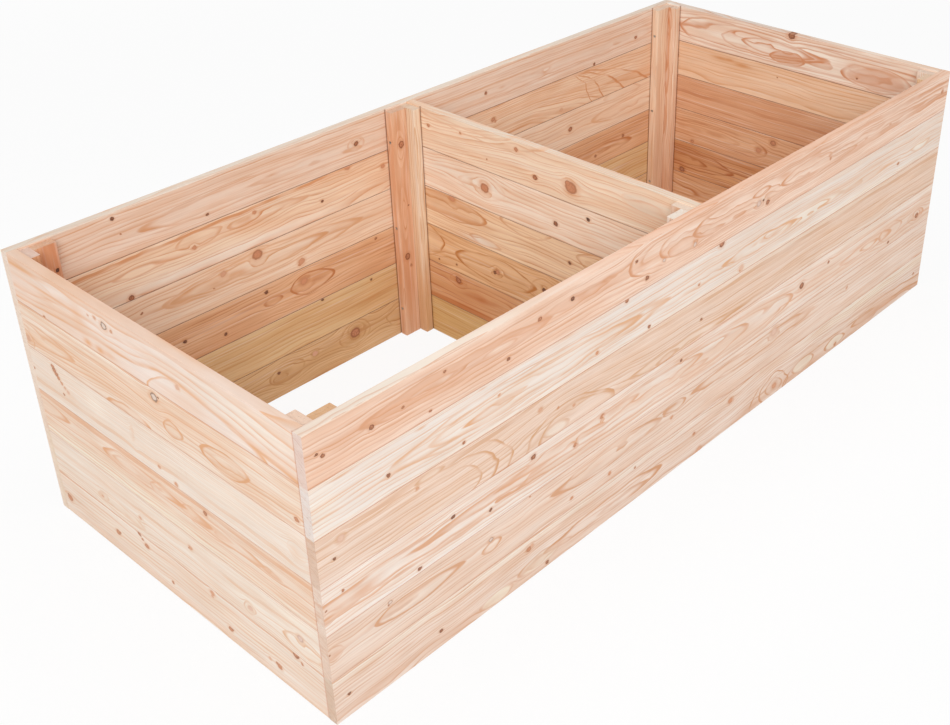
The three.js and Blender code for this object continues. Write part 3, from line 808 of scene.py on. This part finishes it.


# Battens, whose grain stands up: places from the ground and across the face.
# The stains at along 0 make a batten darker and warmer towards the ground.
battenLooks = {
    "back_middle_wall_batten": dict(
        early=(239, 201, 171), late=(210, 142, 98), blush=0.9, endTint=(196, 160, 138), pith=(16, 26),
        spacing=7.0, wander=8,
        knots=((512, 24, 10, 0.45), (218, 20, 10, 0.5), (352, 34, 3, 0.7), (190, 30, 5, 0.4)),
        swells=((512, 24, 50, 20, -14), (340, 20, 70, 12, -12))),
    "back_divider_batten": dict(
        early=(246, 226, 200), late=(214, 164, 116), blush=0.7, endTint=(200, 170, 150), pith=(60, 40),
        spacing=4.4, wander=5,
        stains=((0, 24, 260, 100, 0.7), (400, 4, 300, 5, -0.7))),
    "back_right_wall_batten": dict(
        early=(242, 216, 190), late=(214, 156, 114), pith=(50, 30), spacing=5, wander=8,
        stains=((0, 20, 230, 100, 0.4),)),
    "back_right_end_batten": dict(
        early=(243, 220, 196), late=(208, 140, 96), blush=0.4, pith=(-20, 26), spacing=6, wander=7,
        loops=((400, 24, 60, 160, 10, 0.8, 0.3), (545, 22, 30, 50, 9, 0.8, 0.2),
            (270, 26, 50, 40, 8, 0.7, 0.4)),
        stains=((0, 20, 230, 100, 0.6),)),
    "back_left_wall_batten": dict(
        early=(232, 182, 144), late=(199, 116, 72), endTint=(216, 178, 150), pith=(30, 26), spacing=8,
        wander=8,
        knots=((539, 36, 6, 0.95),),
        swells=((500, 20, 60, 14, -12),)),
    "back_left_end_batten": dict(
        early=(226, 176, 136), late=(196, 122, 80), endTint=(232, 214, 206), pith=(30, 30), spacing=5),
    "front_left_end_batten": dict(
        tone="salmon", endTint=(234, 206, 186), pith=(20, 60), spacing=5),
    "front_left_wall_batten": dict(
        tone="honey", endTint=(206, 150, 104), pith=(20, 40), spacing=5),
    "front_middle_wall_batten": dict(
        tone="cream", endTint=(226, 216, 204), pith=(30, 40), spacing=5),
    "front_divider_batten": dict(
        tone="peach", endTint=(220, 200, 182), pith=(30, 40), spacing=5),
}


def ordinaryBatten(dice, tone):        # a batten whose face the photograph doesn't show
    pith = (dice.uniform(-20, 60), 40)
    knots = [(dice.uniform(40, 560), dice.uniform(8, 38), dice.choice((3, 4, 6)), dice.uniform(0.3, 0.9))
             for _ in range(2)]
    return dict(tone=tone, pith=pith, spacing=4.8, wander=7, knots=knots)


def dressBattens():
    dice = random.Random(600)
    names = sorted(name for name in parts if name.endswith("_batten"))
    for count, name in enumerate(names):
        low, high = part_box(name)
        look = battenLooks.get(name) or ordinaryBatten(dice, ("peach", "salmon", "cream", "honey")[count % 4])
        across, through = (0, 1) if high[0] - low[0] > high[1] - low[1] else (1, 0)
        dressTimber(name, look, "Z" + "XYZ"[across] + "XYZ"[through], (1 / mm, 1 / mm, 1 / mm),
                    (0, -low[across] / mm, -low[through] / mm), (-boundless, boundless), 600 + count)


dressBattens()
print("boards and battens dressed")


# assembly screws: turned stainless steel
screwLook = dict(colour=(198, 198, 196), roughness=0.32, grain=0.12, grainScale=900, relief=0.2,
                 reliefDepth=0.05 * mm)


def dressScrews(look):
    material = bpy.data.materials.new("stainless_screw")
    material.use_nodes = True
    tree = material.node_tree
    shader = tree.nodes["Principled BSDF"]
    shader.inputs["Metallic"].default_value = 1.0
    where = addNode(tree, "ShaderNodeTexCoord").outputs["Object"]
    turning = noise(tree, vectorMaths(tree, "MULTIPLY", where, (look["grainScale"],) * 3), 3.0, 0.6)
    rough = maths(tree, "MULTIPLY_ADD", turning, look["grain"] * 2, look["roughness"] - look["grain"])
    tree.links.new(rough, shader.inputs["Roughness"])
    steel = blendColour(tree, turning, paint(*look["colour"]), paint(*(c * 0.85 for c in look["colour"])))
    tree.links.new(steel, shader.inputs["Base Color"])
    bump = addNode(tree, "ShaderNodeBump", {
        "Strength": look["relief"], "Distance": look["reliefDepth"], "Height": turning})
    tree.links.new(bump.outputs[0], shader.inputs["Normal"])
    for name in parts:
        if "_screw_" in name:
            putMaterial(parts[name], material)


dressScrews(screwLook)
print("screws dressed")


# Studio: a white floor that keeps the bed's shadow, soft light and the camera. Places are in metres.
studio = dict(floorSize=24.0, floorPaint=(250, 250, 250), shadowShare=0.12, fadeOut=(2.5, 7.0),
              skyStrength=0.56)
lamps = {
    "key_lamp": dict(place=(-6.4, -6.0, 5.4), aim=(0, 0, 0.3), size=(5.0, 5.0), power=500),
    "overhead_lamp": dict(place=(0, 0, 1.8), aim=(0, 0, 0), size=(1.7, 0.6), power=6),
    "rear_lamp": dict(place=(3.4, 6.0, 0.8), aim=(0.2, 0, 0.3), size=(5.0, 1.4), power=70),
}
cameraView = dict(place=(-1.89149, -1.73981, 1.72580), turn=(1.041578, 0.003108, -0.842887), lens=49.32,
                  shift=(-0.0888, -0.0659))


def seesBackground(tree):        # 1 for the rays that show the background itself, also in a gloss
    ray = addNode(tree, "ShaderNodeLightPath").outputs
    mirrored = maths(tree, "MAXIMUM", ray["Is Glossy Ray"], ray["Is Transmission Ray"])
    return maths(tree, "MAXIMUM", ray["Is Camera Ray"], mirrored)


def makeFloor(look):
    half = look["floorSize"] / 2
    mesh = bpy.data.meshes.new("studio_floor")
    corners = [(-half, -half, 0), (half, -half, 0), (half, half, 0), (-half, half, 0)]
    mesh.from_pydata(corners, [], [(0, 1, 2, 3)])
    floor = bpy.data.objects.new("studio_floor", mesh)
    bpy.context.scene.collection.objects.link(floor)
    floor.location.z = -0.5 * mm
    material = bpy.data.materials.new("studio_floor")
    material.use_nodes = True
    tree = material.node_tree
    tree.nodes.clear()
    matte = addNode(tree, "ShaderNodeBsdfDiffuse", {"Color": paint(*look["floorPaint"])}).outputs[0]
    white = addNode(tree, "ShaderNodeEmission", {"Color": (1, 1, 1, 1), "Strength": 1.0}).outputs[0]
    reach = vectorMaths(tree, "LENGTH", addNode(tree, "ShaderNodeTexCoord").outputs["Object"])
    share = fade(tree, reach, *look["fadeOut"], 1 - look["shadowShare"], 1.0)
    share = maths(tree, "MULTIPLY", seesBackground(tree), share)
    mixed = addNode(tree, "ShaderNodeMixShader", {0: share, 1: matte, 2: white}).outputs[0]
    target = addNode(tree, "ShaderNodeOutputMaterial")
    tree.links.new(mixed, target.inputs["Surface"])
    mesh.materials.append(material)


def makeSky(look):
    world = bpy.data.worlds.new("studio")
    bpy.context.scene.world = world
    world.use_nodes = True
    tree = world.node_tree
    tree.nodes.clear()
    strength = maths(tree, "MULTIPLY_ADD", seesBackground(tree), 1 - look["skyStrength"], look["skyStrength"])
    sky = addNode(tree, "ShaderNodeBackground", {"Color": (1, 1, 1, 1), "Strength": strength}).outputs[0]
    target = addNode(tree, "ShaderNodeOutputWorld")
    tree.links.new(sky, target.inputs["Surface"])


def makeLamp(name, look):
    data = bpy.data.lights.new(name, "AREA")
    data.shape = "RECTANGLE"
    data.size, data.size_y = look["size"]
    data.energy = look["power"]
    lamp = bpy.data.objects.new(name, data)
    bpy.context.scene.collection.objects.link(lamp)
    lamp.visible_camera = False
    lamp.location = look["place"]
    lamp.rotation_euler = (Vector(look["aim"]) - Vector(look["place"])).to_track_quat("-Z", "Y").to_euler()


def makeCamera(look):
    data = bpy.data.cameras.new("camera")
    data.sensor_fit = "HORIZONTAL"
    data.sensor_width = 36
    data.lens = look["lens"]
    data.shift_x, data.shift_y = look["shift"]
    data.clip_end = 100
    camera = bpy.data.objects.new("camera", data)
    bpy.context.scene.collection.objects.link(camera)
    camera.location = look["place"]
    camera.rotation_euler = look["turn"]
    bpy.context.scene.camera = camera


makeFloor(studio)
makeSky(studio)
for lampName, lampLook in lamps.items():
    makeLamp(lampName, lampLook)
makeCamera(cameraView)
bpy.context.scene.view_settings.view_transform = "Standard"
print("studio ready")
